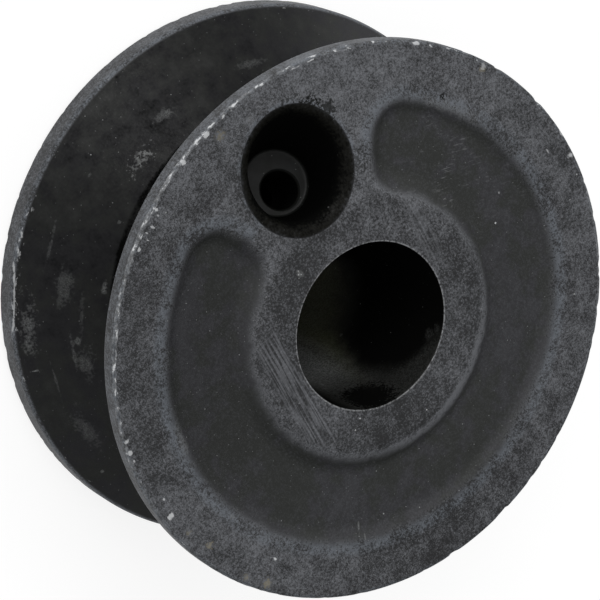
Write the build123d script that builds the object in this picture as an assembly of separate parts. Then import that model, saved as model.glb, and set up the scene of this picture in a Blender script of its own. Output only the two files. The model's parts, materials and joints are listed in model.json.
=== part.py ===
from build123d import *
from math import cos, radians, sin, sqrt, tan
import os

# Cast-iron wire rope sheave, one casting.
#
# Two flanges stand either side of a rope groove.  The hub has a plain bore and a
# flat face at each end, a little proud of the rims.  Both sides are lightened by a
# shallow recess between hub and rim.  On the front a land interrupts that recess
# and carries a slanted pocket, whose tapped hole takes a grease nipple and runs on
# as a narrow passage into the bore.
#
# Millimetres and degrees.  The sheave stands on its rear hub face: the origin is
# the centre of that face, +Z runs along the bore to the front, and the pocket is
# on the +X side.

# Flanges and hub
flange_diameter = 100.0
rim_width = 43.0             # from the rear rim face to the front one
rim_face_width = 10.8        # from each flange's edge to its recess
front_rim_thickness = 3.2    # up to the corner where the groove flank starts
rear_rim_thickness = 4.6
rim_outer_round = 0.5
rim_inner_round = 1.2
hub_face_diameter = 47.7
hub_face_height = 1.0        # how far each hub face stands proud of its rim face
bore_diameter = 30.0
bore_chamfer = 0.4

# Rope groove
groove_flank_angle = 34.0    # each flank against the plane of the sheave
groove_root_diameter = 70.8  # where the flanks meet the rope seat
rope_seat_radius = 20.0
rope_seat_round = 0.6        # at the two corners where seat and flank meet

# Side recesses
recess_depth = 1.0           # below the rim face
recess_side_angle = 40.0     # slope of the recess sides against the bore axis
recess_floor_round = 1.0
land_half_angle = 28.0       # the front recess stops this far either side of the pocket
land_corner_round = 5.5

# Grease pocket and nipple hole
pocket_tilt = 25.0           # the pocket's axis leans outwards by this
pocket_depth = 12.5          # along its own axis
pocket_floor_diameter = 11.6
pocket_side_angle = 13.6     # draft of the cast pocket
pocket_floor_round = 0.5
pocket_mouth_round = 2.6
nipple_hole_diameter = 6.65  # minor diameter of an M8 thread
nipple_hole_depth = 10.0
nipple_hole_offset = 1.4     # from the pocket's axis towards the hub
passage_diameter = 3.5

# Heights and radii worked out from the sizes above
rear_rim_z = hub_face_height
front_rim_z = rear_rim_z + rim_width
front_hub_z = front_rim_z + hub_face_height
flange_radius = flange_diameter / 2
hub_face_radius = hub_face_diameter / 2
recess_outer_radius = flange_radius - rim_face_width
recess_side_slope = tan(radians(recess_side_angle))
groove_root_radius = groove_root_diameter / 2
flank_drop = (flange_radius - groove_root_radius) * tan(radians(groove_flank_angle))
rear_root_z = rear_rim_z + rear_rim_thickness + flank_drop
front_root_z = front_rim_z - front_rim_thickness - flank_drop
seat_half_width = (front_root_z - rear_root_z) / 2
seat_sag = rope_seat_radius - sqrt(rope_seat_radius**2 - seat_half_width**2)

# The pocket's axis meets the rim plane midway between the bore and the flange's edge
pocket_place = (bore_diameter / 2 + flange_radius) / 2

# The pocket's own plane: its Z is the pocket's axis and its X points away from the hub
tilt = radians(pocket_tilt)
pocket_plane = Plane(
    origin=(pocket_place, 0, front_rim_z),
    x_dir=(cos(tilt), 0, -sin(tilt)),
    z_dir=(sin(tilt), 0, cos(tilt)),
)


def corners_at(sketch, *points):
    """The corners of a flat sketch that lie at the given points."""
    return [v for v in sketch.vertices() for p in points if (Vector(v) - Vector(*p)).length < 1e-3]


def casting_blank():
    """Both flanges, the hub and the rear recess, turned from one half section."""
    rear_floor_z = rear_rim_z + recess_depth
    rear_recess = [
        (hub_face_radius, 0),
        (hub_face_radius + rear_floor_z * recess_side_slope, rear_floor_z),
        (recess_outer_radius - recess_depth * recess_side_slope, rear_floor_z),
        (recess_outer_radius, rear_rim_z),
    ]
    rear_rim = [(flange_radius, rear_rim_z), (flange_radius, rear_rim_z + rear_rim_thickness)]
    front_rim = [(flange_radius, front_rim_z - front_rim_thickness), (flange_radius, front_rim_z)]
    # The land rises evenly from the recess's outer edge to the hub face
    front_face = [
        (recess_outer_radius, front_rim_z),
        (hub_face_radius, front_hub_z),
        (0, front_hub_z),
    ]
    rear_root = (groove_root_radius, rear_root_z)
    front_root = (groove_root_radius, front_root_z)
    seat_bottom = (groove_root_radius - seat_sag, (rear_root_z + front_root_z) / 2)
    outline = [
        Polyline((0, 0), *rear_recess, *rear_rim, rear_root),
        ThreePointArc(rear_root, seat_bottom, front_root),
        Polyline(front_root, *front_rim, *front_face, (0, 0)),
    ]
    section = make_face(outline)
    section = fillet(corners_at(section, *rear_recess[1:3]), recess_floor_round)
    section = fillet(corners_at(section, rear_rim[0], front_rim[1]), rim_outer_round)
    section = fillet(corners_at(section, rear_rim[1], front_rim[0]), rim_inner_round)
    section = fillet(corners_at(section, rear_root, front_root), rope_seat_round)
    # Half a turn puts the seam of the turned faces on the far side from the pocket
    return Rot(0, 0, 180) * revolve(Plane.XZ * section, axis=Axis.Z)


def front_recess():
    """The space of the front recess: a C that leaves the pocket its land."""
    reach = 2 * flange_radius
    half_width = reach * tan(radians(land_half_angle))
    land = Polygon((0, 0), (reach, half_width), (reach, -half_width), align=None)
    hub_foot_radius = hub_face_radius + hub_face_height * recess_side_slope
    plan = Circle(recess_outer_radius) - Circle(hub_foot_radius) - land
    widest_round = 0.45 * (recess_outer_radius - hub_foot_radius)
    plan = fillet(plan.vertices(), min(land_corner_round, widest_round))
    plan = Pos(0, 0, front_rim_z) * plan
    below_rim = extrude(plan, -recess_depth, taper=recess_side_angle)
    floor = below_rim.faces().sort_by(Axis.Z)[0]
    below_rim = fillet(floor.edges(), recess_floor_round)
    above_rim = extrude(plan, 2 * hub_face_height, taper=-recess_side_angle)
    return below_rim + above_rim


def grease_pocket():
    """The space of the slanted pocket, from its floor to well clear of the hub face."""
    height = pocket_depth + pocket_place
    floor_radius = pocket_floor_diameter / 2
    top_radius = floor_radius + height * tan(radians(pocket_side_angle))
    space = Cone(floor_radius, top_radius, height, align=(Align.CENTER, Align.CENTER, Align.MIN))
    space = fillet(space.edges().sort_by(Axis.Z)[0], pocket_floor_round)
    return pocket_plane * Pos(0, 0, -pocket_depth) * space


def sink_pocket(casting):
    """Cut the pocket into its land and round the mouth that this leaves."""
    casting = casting - grease_pocket()
    cones = casting.faces().filter_by(GeomType.CONE)
    wall = next(face for face in cones if not face.axis_of_rotation.is_parallel(Axis.Z))
    # The wall's foot is a circle and its seam a line, so its other edges are the mouth
    foot_and_seam = (GeomType.CIRCLE, GeomType.LINE)
    mouth = wall.edges().filter_by(lambda edge: edge.geom_type not in foot_and_seam)
    # A narrow rim outside the pocket leaves room for a smaller round
    rim_left = flange_radius - rim_outer_round - max(v.X for v in mouth.vertices())
    return fillet(mouth, min(pocket_mouth_round, 0.6 * rim_left))


def nipple_hole():
    """The tapped hole in the pocket's floor and the passage from there into the bore."""
    seat = pocket_plane * Pos(-nipple_hole_offset, 0, -pocket_depth)
    hole = Cylinder(nipple_hole_diameter / 2, 2 * nipple_hole_depth)
    passage_reach = seat.position.X / sin(tilt)
    passage = Cylinder(passage_diameter / 2, 2 * passage_reach)
    return seat * (hole + passage)


def drill_bore(casting):
    """Bore the hub from face to face and break both edges."""
    casting = casting - Cylinder(bore_diameter / 2, 3 * front_hub_z)
    hub_faces = casting.faces().filter_by(Axis.Z).group_by(Axis.Z)
    edges = [
        edge
        for level in (hub_faces[0], hub_faces[-1])
        for edge in level.edges().filter_by(GeomType.CIRCLE)
        if abs(edge.radius - bore_diameter / 2) < 1e-6
    ]
    return chamfer(edges, bore_chamfer)


sheave = casting_blank() - front_recess()
sheave = sink_pocket(sheave)
sheave = drill_bore(sheave)
sheave = sheave - nipple_hole()

os.makedirs("parts", exist_ok=True)
export_step(sheave, "parts/sheave.step")
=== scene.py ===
"""Painted cast-iron wire rope sheave on a plain studio stage.

The casting is one closed mesh.  Its turned faces are rings about the bore's axis, its
front face and the patch of bore wall round the grease passage are triangulated between
their own edges, and the grease pocket is a grid about its slanted axis.
"""

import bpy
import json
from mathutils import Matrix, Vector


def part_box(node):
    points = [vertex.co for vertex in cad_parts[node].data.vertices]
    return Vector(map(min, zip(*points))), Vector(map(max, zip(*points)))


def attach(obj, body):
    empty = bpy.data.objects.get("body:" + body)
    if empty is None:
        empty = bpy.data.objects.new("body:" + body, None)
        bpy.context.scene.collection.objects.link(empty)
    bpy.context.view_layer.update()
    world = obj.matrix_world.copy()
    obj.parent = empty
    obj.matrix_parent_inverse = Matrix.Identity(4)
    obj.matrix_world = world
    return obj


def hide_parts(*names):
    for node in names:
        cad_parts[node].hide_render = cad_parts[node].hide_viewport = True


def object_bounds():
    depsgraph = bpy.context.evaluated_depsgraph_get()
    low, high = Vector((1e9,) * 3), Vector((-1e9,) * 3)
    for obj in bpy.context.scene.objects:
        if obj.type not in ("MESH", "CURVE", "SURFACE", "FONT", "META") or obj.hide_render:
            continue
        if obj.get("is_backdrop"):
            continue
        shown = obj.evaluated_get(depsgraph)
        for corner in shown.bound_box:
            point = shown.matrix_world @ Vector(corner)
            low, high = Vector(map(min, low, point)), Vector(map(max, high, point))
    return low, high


bl_info = {
    "name": "Wire Rope Sheave",
    "version": (1, 0, 0),
    "blender": (4, 5, 0),
    "location": "3D View > Sidebar > Sheave",
    "description": "Builds a painted cast-iron rope sheave and a plain studio stage for it",
    "category": "Object",
}

import json
import math

import bmesh
import bpy
import numpy as np
from mathutils import Matrix, Vector, geometry, noise

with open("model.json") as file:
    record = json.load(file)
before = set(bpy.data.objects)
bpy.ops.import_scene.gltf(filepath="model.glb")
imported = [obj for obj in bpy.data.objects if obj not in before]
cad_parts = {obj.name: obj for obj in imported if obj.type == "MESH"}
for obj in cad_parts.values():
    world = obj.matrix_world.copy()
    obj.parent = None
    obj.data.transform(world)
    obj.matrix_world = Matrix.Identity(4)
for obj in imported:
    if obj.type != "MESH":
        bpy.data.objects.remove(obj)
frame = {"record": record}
cad_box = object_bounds()
mounts = {mount["name"]: mount for mount in frame["record"]["mounts"]}
bore_dims = mounts["bore"]["dims"]
nipple_hole = mounts["nipple_hole"]
hole_dims = nipple_hole["dims"]
_, node_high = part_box("sheave")


# ---- properties


def length(name, description, default):
    """A size in metres, shown in the scene's own unit."""
    return bpy.props.FloatProperty(
        name=name, description=description, default=default, min=0, precision=5, unit="LENGTH"
    )


def angle(name, description, degrees):
    """An angle, shown in degrees."""
    return bpy.props.FloatProperty(
        name=name, description=description, default=math.radians(degrees), unit="ROTATION"
    )


def colour(name, description, default):
    """A linear colour."""
    return bpy.props.FloatVectorProperty(
        name=name, description=description, default=default, min=0, max=1, subtype="COLOR"
    )


def amount(name, description, default):
    """A plain number that is never negative."""
    return bpy.props.FloatProperty(name=name, description=description, default=default, min=0)


class SheaveSizes(bpy.types.PropertyGroup):
    """Sizes of the casting."""

    flange_radius: length("Flange radius", "Outer radius of both flanges", node_high.x)
    front_hub_z: length("Front hub height", "Height of the front hub face", node_high.z)
    hub_face_height: length("Hub face height", "How far a hub face stands proud of its rim", 0.001)
    hub_face_radius: length("Hub face radius", "Outer radius of a hub face", 0.0228)
    bore_radius: length("Bore radius", "Radius of the bore", bore_dims["r_mm"] / 1000)
    bore_chamfer: length("Bore chamfer", "Broken edge at each end of the bore", 0.00015)
    front_rim_thickness: length("Front rim thickness", "Up to the groove's flank", 0.0032)
    rear_rim_thickness: length("Rear rim thickness", "Up to the groove's flank", 0.0046)
    rim_outer_round: length("Rim outer round", "Round at each rim's outer edge", 0.0005)
    rim_inner_round: length("Rim inner round", "Round where rim and flank meet", 0.0012)
    flank_angle: angle("Flank angle", "Groove flank against the plane of the sheave", 34)
    groove_root_radius: length("Groove root radius", "Where flank and rope seat meet", 0.0354)
    rope_seat_radius: length("Rope seat radius", "Hollow of the rope seat", 0.020)
    rope_seat_round: length("Rope seat round", "Round between flank and rope seat", 0.0006)
    rim_face_width: length("Rim face width", "From a flange's edge to its recess", 0.0103)
    recess_depth: length("Recess depth", "Depth of a side recess below its rim", 0.001)
    recess_side_angle: angle("Recess side angle", "Slope of the recess sides", 62)
    recess_floor_round: length("Recess floor round", "Round at the recess's foot", 0.0043)
    recess_top_round: length("Recess top round", "Softened edge of a side recess", 0.0037)
    land_half_angle: angle("Land half angle", "The front recess stops this far from the pocket", 28)
    land_corner_round: length("Land corner round", "Round of the recess's ends in plan", 0.0055)
    pocket_depth: length("Pocket depth", "Depth along the pocket's axis", 0.0125)
    pocket_floor_radius: length("Pocket floor radius", "Radius of the pocket's floor", 0.0058)
    pocket_side_angle: angle("Pocket side angle", "Draft of the pocket's wall", 13.6)
    pocket_floor_round: length("Pocket floor round", "Round at the pocket's foot", 0.0005)
    pocket_mouth_round: length("Pocket mouth round", "Round of the pocket's mouth", 0.0026)
    nipple_hole_radius: length(
        "Nipple hole radius", "Minor radius of the tapped hole", hole_dims["r_mm"] / 1000
    )
    nipple_hole_depth: length(
        "Nipple hole depth", "Depth of the tapped hole", hole_dims["length_mm"] / 1000
    )
    thread_pitch: length("Thread pitch", "Pitch of the tapped hole's thread", 0.001)
    thread_depth: length("Thread depth", "Depth of the tapped hole's thread", 0.0006)
    passage_radius: length("Passage radius", "Radius of the grease passage", 0.00175)


class SheaveFinish(bpy.types.PropertyGroup):
    """Colours and wear of the casting, and the colours of its painted shade and highlight."""

    paint: colour("Paint", "Satin black paint of the recesses", (0.0098, 0.0110, 0.0096))
    paint_cool: colour("Paint, cool", "The same paint where it looks bluer", (0.0115, 0.0115, 0.0138))
    grain_dark: colour("Grain, dark", "Dark grains of the rubbed faces", (0.008, 0.0085, 0.0095))
    grain_light: colour("Grain, light", "Light grains of the rubbed faces", (0.128, 0.133, 0.145))
    bare_metal: colour("Bare metal", "Chips and rubs along the edges", (0.50, 0.51, 0.52))
    dust: colour("Dust", "Pale dust and scuffs", (0.30, 0.31, 0.31))
    old_oil: colour("Old oil", "Dark skin of the pocket's wall", (0.015, 0.0145, 0.0095))
    # Painted highlight: the cooler pale grey along the recess's outer edge
    edge_highlight_blue: colour("Edge blue", "Cooler grey beside the recess", (0.115, 0.135, 0.16))
    rust: colour("Rust", "Faint brown spots", (0.21, 0.19, 0.14))
    oily_wall: colour("Oily wall", "Greased skin of the bore", (0.030, 0.031, 0.027))
    grease: colour("Grease", "Yellowish old grease low in the bore", (0.050, 0.053, 0.022))
    # Painted shade: the dull black that deep and sheltered places are mixed towards
    painted_shade_colour: colour("Soot", "Dull black in the depths", (0.0025, 0.0026, 0.0025))
    gloss: amount("Gloss", "Strength of the paint's mirror part", 0.4)


class StageLook(bpy.types.PropertyGroup):
    """Floor, light and camera."""

    floor_size: length("Floor size", "Side of the square floor", 8.0)
    floor_colour: colour("Floor colour", "The pale floor", (0.8, 0.8, 0.8))
    sky_bright: amount("Sky, bright side", "Strength of the soft light on the pocket's side", 0.95)
    sky_dark: amount("Sky, dark side", "Strength of the soft light on the far side", 0.12)
    key_power: amount("Key power", "Power of the large soft lamp in watts", 5.0)
    key_size: length("Key size", "Width of the large soft lamp", 0.7)
    key_distance: length("Key distance", "From the lamp to the sheave", 1.2)
    lens: amount("Lens", "Focal length in millimetres on a 36 mm sensor", 173.53)
    view_turn: angle("View turn", "Camera's place round the bore's axis", 34.05896)
    view_rise: angle("View rise", "Camera's height above the floor", 55.226883)
    view_roll: angle("View roll", "Camera's turn about its own axis", 115.151942)
    view_distance: length("View distance", "From the camera to the point it looks at", 0.4927)


# ---- flat curves


def round_corner(before, corner, after, radius, steps):
    """Points of the arc that rounds one corner of a flat path."""
    before, corner, after = (np.array(p[:2], float) for p in (before, corner, after))
    to_before = (before - corner) / np.linalg.norm(before - corner)
    to_after = (after - corner) / np.linalg.norm(after - corner)
    half = math.acos(float(np.clip(to_before @ to_after, -1, 1))) / 2
    middle = (to_before + to_after) / np.linalg.norm(to_before + to_after)
    centre = corner + middle * radius / math.sin(half)
    start = corner + to_before * radius / math.tan(half) - centre
    end = corner + to_after * radius / math.tan(half) - centre
    turn = math.pi - 2 * half
    shares = np.linspace(0, 1, steps + 1)[:, None]
    arc = (np.sin((1 - shares) * turn) * start + np.sin(shares * turn) * end) / math.sin(turn)
    return centre + arc


def rounded_path(corners, steps=5):
    """A flat path through (x, y, round) corners; its ends stay sharp."""
    path = [np.array(corners[0][:2], float)[None]]
    for before, corner, after in zip(corners, corners[1:], corners[2:]):
        if corner[2] > 0:
            path.append(round_corner(before, corner, after, corner[2], steps))
        else:
            path.append(np.array(corner[:2], float)[None])
    path.append(np.array(corners[-1][:2], float)[None])
    return np.concatenate(path)


def closer_spaced(path, spacing, edge_spacing):
    """The same path with points at most a spacing apart, and closer beside its corners."""
    points = [path[0]]
    for start, end in zip(path, path[1:]):
        span = np.linalg.norm(end - start)
        stops = np.array([1.0])
        if span > 3 * edge_spacing:
            inner = math.ceil((span - 2 * edge_spacing) / spacing)
            stops = np.append(np.linspace(edge_spacing, span - edge_spacing, inner + 1) / span, 1)
        points.extend(start + (end - start) * stop for stop in stops)
    return np.array(points)


def arc_points(centre, radius, start, end, spacing):
    """Points along an arc about a centre, and the directions they lie in from it."""
    turns = np.linspace(start, end, 2 + math.ceil(abs(end - start) * radius / spacing))
    away = np.stack([np.cos(turns), np.sin(turns)], axis=1)
    return np.array(centre) + radius * away, away


def inside_loop(points, loop):
    """Whether each flat point lies inside a closed flat loop."""
    x, y = points[:, :1], points[:, 1:]
    x0, y0 = loop.T
    x1, y1 = np.roll(loop, -1, axis=0).T
    crosses = (y0 > y) != (y1 > y)
    with np.errstate(divide="ignore", invalid="ignore"):
        left_of = x < (x1 - x0) * (y - y0) / (y1 - y0) + x0
    return np.count_nonzero(crosses & left_of, axis=1) % 2 == 1


def clearance(points, loop):
    """Each flat point's distance to the nearest point of a loop."""
    nearest = np.full(len(points), np.inf)
    for part in np.array_split(loop, max(1, len(loop) // 100)):
        gaps = np.linalg.norm(points[:, None] - part[None], axis=2)
        nearest = np.minimum(nearest, gaps.min(axis=1))
    return nearest


def path_lengths(rows):
    """How far each point of the rows lies from its column's first, along the column."""
    steps = np.linalg.norm(np.diff(rows, axis=0), axis=-1)
    return np.concatenate([np.zeros((1, rows.shape[1])), np.cumsum(steps, axis=0)])


# ---- the closed surface

# How finely the casting is divided, with spacings in metres
TURNED_COLUMNS = 460
POCKET_COLUMNS = 160
PROFILE_SPACING = 0.0022
PROFILE_EDGE_SPACING = 0.0003
RECESS_EDGE_SPACING = 0.00045
FRONT_SPACING = 0.0006
RECESS_FLOOR_SPACING = 0.001
BORE_PATCH_SPACING = 0.0008
# Between the rows of even triangles, and from a filled area's edge, in spacings
ROW_GAP = 0.866
EDGE_GAP = 0.6


class Surface:
    """The casting's points and faces, whose parts share the points along their common edges.

    Each point also has its shelter, how far in from an exposed edge it lies, and its depth,
    from 0 in the open to 1 deep in a hole.
    """

    def __init__(self):
        self.points = np.zeros((0, 3))
        self.shelter = np.zeros(0)
        self.depth = np.zeros(0)
        self.faces = []

    def add(self, points, shelter=0.0, depth=0.0):
        """Add an array of points and return their numbers in the same layout."""
        layout = points.shape[:-1]
        numbers = len(self.points) + np.arange(np.prod(layout))
        self.points = np.concatenate([self.points, points.reshape(-1, 3)])
        self.shelter = np.append(self.shelter, np.broadcast_to(shelter, layout))
        self.depth = np.append(self.depth, np.broadcast_to(depth, layout))
        return numbers.reshape(layout)

    def bridge(self, rows, closed=True):
        """Join rows of point numbers with quads."""
        following = np.roll(rows, -1, axis=1)
        quads = np.stack([rows[:-1], following[:-1], following[1:], rows[1:]], axis=-1)
        if not closed:
            quads = quads[:, :-1]
        self.faces.extend(quads.reshape(-1, 4).tolist())

    def fill(self, loops, spacing, place, shelter=None):
        """Triangulate the flat area inside the first loop and outside the others.

        Each loop is a pair: its points' numbers and its flat points.  New points go from
        their flat places through the place function, and may get a shelter in the same way.
        """
        outer = loops[0][1]
        low, high = outer.min(axis=0), outer.max(axis=0)
        x, y = np.meshgrid(
            np.arange(low[0], high[0], spacing), np.arange(low[1], high[1], spacing * ROW_GAP)
        )
        x[::2] += spacing / 2
        fresh = np.stack([x.ravel(), y.ravel()], axis=1)
        fresh = fresh[inside_loop(fresh, outer)]
        for _, loop in loops[1:]:
            fresh = fresh[~inside_loop(fresh, loop)]
        for _, loop in loops:
            fresh = fresh[clearance(fresh, loop) > EDGE_GAP * spacing]

        sheltered = shelter(fresh) if shelter else 0.0
        added = self.add(place(fresh), sheltered)
        numbers = np.concatenate([ring for ring, _ in loops] + [added])
        flat = np.concatenate([loop for _, loop in loops] + [fresh])
        edges, first = [], 0
        for ring, _ in loops:
            count = len(ring)
            edges.extend((first + i, first + (i + 1) % count) for i in range(count))
            first += count
        # The triangulation works best on numbers near one
        scale = 1 / (high - low).max()
        found, _, faces, origins, _, _ = geometry.delaunay_2d_cdt(
            [Vector(p) for p in (flat - low) * scale], edges, [], 0, 1e-9
        )
        if len(found) != len(flat):
            raise RuntimeError("points of a filled area fell together")
        corners = np.array([[origins[v][0] for v in face] for face in faces])
        middles = flat[corners].mean(axis=1)
        keep = inside_loop(middles, outer)
        for _, loop in loops[1:]:
            keep &= ~inside_loop(middles, loop)
        self.faces.extend(numbers[corners[keep]].tolist())


def recess_outer_radius(sizes):
    """Radius of a side recess's outer edge."""
    return sizes.flange_radius - sizes.rim_face_width


def front_height(sizes, flat):
    """Height of the front face over a flat place: hub face, sloping land, then rim."""
    radius = np.linalg.norm(flat, axis=-1)
    across = recess_outer_radius(sizes) - sizes.hub_face_radius
    rise = np.clip((recess_outer_radius(sizes) - radius) / across, 0, 1)
    return sizes.front_hub_z - sizes.hub_face_height * (1 - rise)


def on_front(sizes, flat):
    """Points of the front face over flat places."""
    return np.column_stack([flat, front_height(sizes, flat)])


def turned_profile(sizes):
    """The half section from the front rim's edge round the groove and the back into the bore."""
    rim = sizes.flange_radius
    front_z = sizes.front_hub_z - sizes.hub_face_height
    rear_z = sizes.hub_face_height
    root = sizes.groove_root_radius
    drop = (rim - root) * math.tan(sizes.flank_angle)
    front_root_z = front_z - sizes.front_rim_thickness - drop
    rear_root_z = rear_z + sizes.rear_rim_thickness + drop
    half_width = (front_root_z - rear_root_z) / 2
    seat_centre = root + math.sqrt(sizes.rope_seat_radius**2 - half_width**2)
    half_turn = math.asin(half_width / sizes.rope_seat_radius)
    seat = [
        (
            seat_centre - sizes.rope_seat_radius * math.cos(turn),
            (front_root_z + rear_root_z) / 2 + sizes.rope_seat_radius * math.sin(turn),
            0,
        )
        for turn in np.linspace(half_turn, -half_turn, 9)[1:-1]
    ]
    slope = math.tan(sizes.recess_side_angle)
    floor_z = rear_z + sizes.recess_depth
    recess_edge = recess_outer_radius(sizes)
    recess_foot = recess_edge - sizes.recess_depth * slope
    hub_foot = sizes.hub_face_radius + floor_z * slope
    edge = sizes.recess_top_round
    bore, chamfer = sizes.bore_radius, sizes.bore_chamfer
    corners = [
        (recess_edge, front_z, 0),
        (rim, front_z, sizes.rim_outer_round),
        (rim, front_z - sizes.front_rim_thickness, sizes.rim_inner_round),
        (root, front_root_z, sizes.rope_seat_round),
        *seat,
        (root, rear_root_z, sizes.rope_seat_round),
        (rim, rear_z + sizes.rear_rim_thickness, sizes.rim_inner_round),
        (rim, rear_z, sizes.rim_outer_round),
        (recess_edge, rear_z, edge),
        (recess_foot, floor_z, sizes.recess_floor_round),
        (hub_foot, floor_z, sizes.recess_floor_round),
        (sizes.hub_face_radius, 0, edge),
        (bore + chamfer, 0, 0),
        (bore, chamfer, 0),
    ]
    outside = closer_spaced(rounded_path(corners)[1:], PROFILE_SPACING, PROFILE_EDGE_SPACING)
    heights = np.linspace(chamfer, sizes.front_hub_z - chamfer, 12)[1:]
    wall = np.stack([np.full(len(heights), bore), heights], axis=1)
    front_edge = np.array([[bore + chamfer, sizes.front_hub_z]])
    return np.concatenate([outside, wall, front_edge])


def recess_outline(sizes, spacing):
    """The front recess's edge at rim level, counter-clockwise, and its outward directions."""
    outer, land = recess_outer_radius(sizes), sizes.land_half_angle
    inner = sizes.hub_face_radius + sizes.hub_face_height * math.tan(sizes.recess_side_angle)
    corner = sizes.land_corner_round
    outer_reach, inner_reach = outer - corner, inner + corner
    outer_turn = land + math.asin(corner / outer_reach)
    inner_turn = land + math.asin(corner / inner_reach)
    flank = math.pi / 2 - land

    def corner_arc(reach, turn, start, end):
        centre = (reach * math.cos(turn), reach * math.sin(turn))
        return arc_points(centre, corner, start, end, spacing)

    def straight(before, after):
        start, end = before[0][-1], after[0][0]
        steps = 1 + math.ceil(np.linalg.norm(end - start) / spacing)
        return np.linspace(start, end, steps), np.repeat(before[1][-1:], steps, axis=0)

    rim_side = arc_points((0, 0), outer, outer_turn, 2 * math.pi - outer_turn, spacing)
    around, outwards = arc_points((0, 0), inner, -inner_turn, inner_turn - 2 * math.pi, spacing)
    hub_side = (around, -outwards)
    low_outer = corner_arc(outer_reach, -outer_turn, -outer_turn, flank)
    low_inner = corner_arc(inner_reach, -inner_turn, flank, math.pi - inner_turn)
    high_inner = corner_arc(inner_reach, inner_turn, inner_turn - math.pi, -flank)
    high_outer = corner_arc(outer_reach, outer_turn, -flank, outer_turn)
    pieces = [
        rim_side,
        low_outer,
        straight(low_outer, low_inner),
        low_inner,
        hub_side,
        high_inner,
        straight(high_inner, high_outer),
        high_outer,
    ]
    points = np.concatenate([piece[0] for piece in pieces])
    away = np.concatenate([piece[1] for piece in pieces])
    fresh = np.linalg.norm(points - np.roll(points, 1, axis=0), axis=1) > spacing / 100
    return points[fresh], away[fresh]


# ---- parts of the casting


def turned_faces(surface, sizes, columns):
    """Rings from the front rim's edge round to the bore's front edge; returns their numbers."""
    profile = turned_profile(sizes)
    turns = np.arange(columns) * 2 * math.pi / columns
    radius, height = profile[:, :1], np.repeat(profile[:, 1:], columns, axis=1)
    rings = np.stack([radius * np.cos(turns), radius * np.sin(turns), height], axis=-1)
    in_groove = 5 * (sizes.flange_radius - radius) * (radius > sizes.bore_radius + 0.001)
    in_recess = np.minimum(recess_outer_radius(sizes) - radius, radius - sizes.hub_face_radius)
    rear = height < sizes.hub_face_height + sizes.rear_rim_thickness / 2
    shelter = np.where(rear, in_recess, in_groove - 0.0015)
    return surface.add(rings, shelter), profile


def front_recess(surface, sizes, spacing):
    """The recess's sides and floor; returns the numbers of its upper edge's points."""
    outline, outwards = recess_outline(sizes, spacing)
    rim_z = sizes.front_hub_z - sizes.hub_face_height
    slope = math.tan(sizes.recess_side_angle)
    top = np.full(len(outline), rim_z)
    for _ in range(4):
        edge = outline + outwards * ((top - rim_z) * slope)[:, None]
        top = front_height(sizes, edge)
    top_reach = (top - rim_z) * slope

    # Both rounds, as steps across the outline and down from the sharp corner they replace
    down = (-slope, -1.0)
    top_arc = round_corner((1, 0), (0, 0), down, sizes.recess_top_round, 4)
    floor_arc = round_corner((slope, 1.0), (0, 0), (-1, 0), sizes.recess_floor_round, 5)
    rows = []
    for across, drop in top_arc:
        flat = outline + outwards * (top_reach + across)[:, None]
        rows.append(np.column_stack([flat, top + drop]))
    rows[0][:, 2] = front_height(sizes, rows[0][:, :2])
    floor_z = rim_z - sizes.recess_depth
    for across, rise in floor_arc:
        flat = outline + outwards * (across - sizes.recess_depth * slope)
        rows.append(np.column_stack([flat, np.full(len(outline), floor_z + rise)]))
    rows = np.array(rows)
    shelter = path_lengths(rows)
    numbers = surface.add(rows, shelter)
    surface.bridge(numbers)
    foot = rows[-1][:, :2]

    def on_floor(flat):
        return np.column_stack([flat, np.full(len(flat), floor_z)])

    def floor_shelter(flat):
        return shelter[-1].mean() + clearance(flat, foot)

    surface.fill([(numbers[-1], foot)], RECESS_FLOOR_SPACING, on_floor, floor_shelter)
    return numbers[0]


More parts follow.
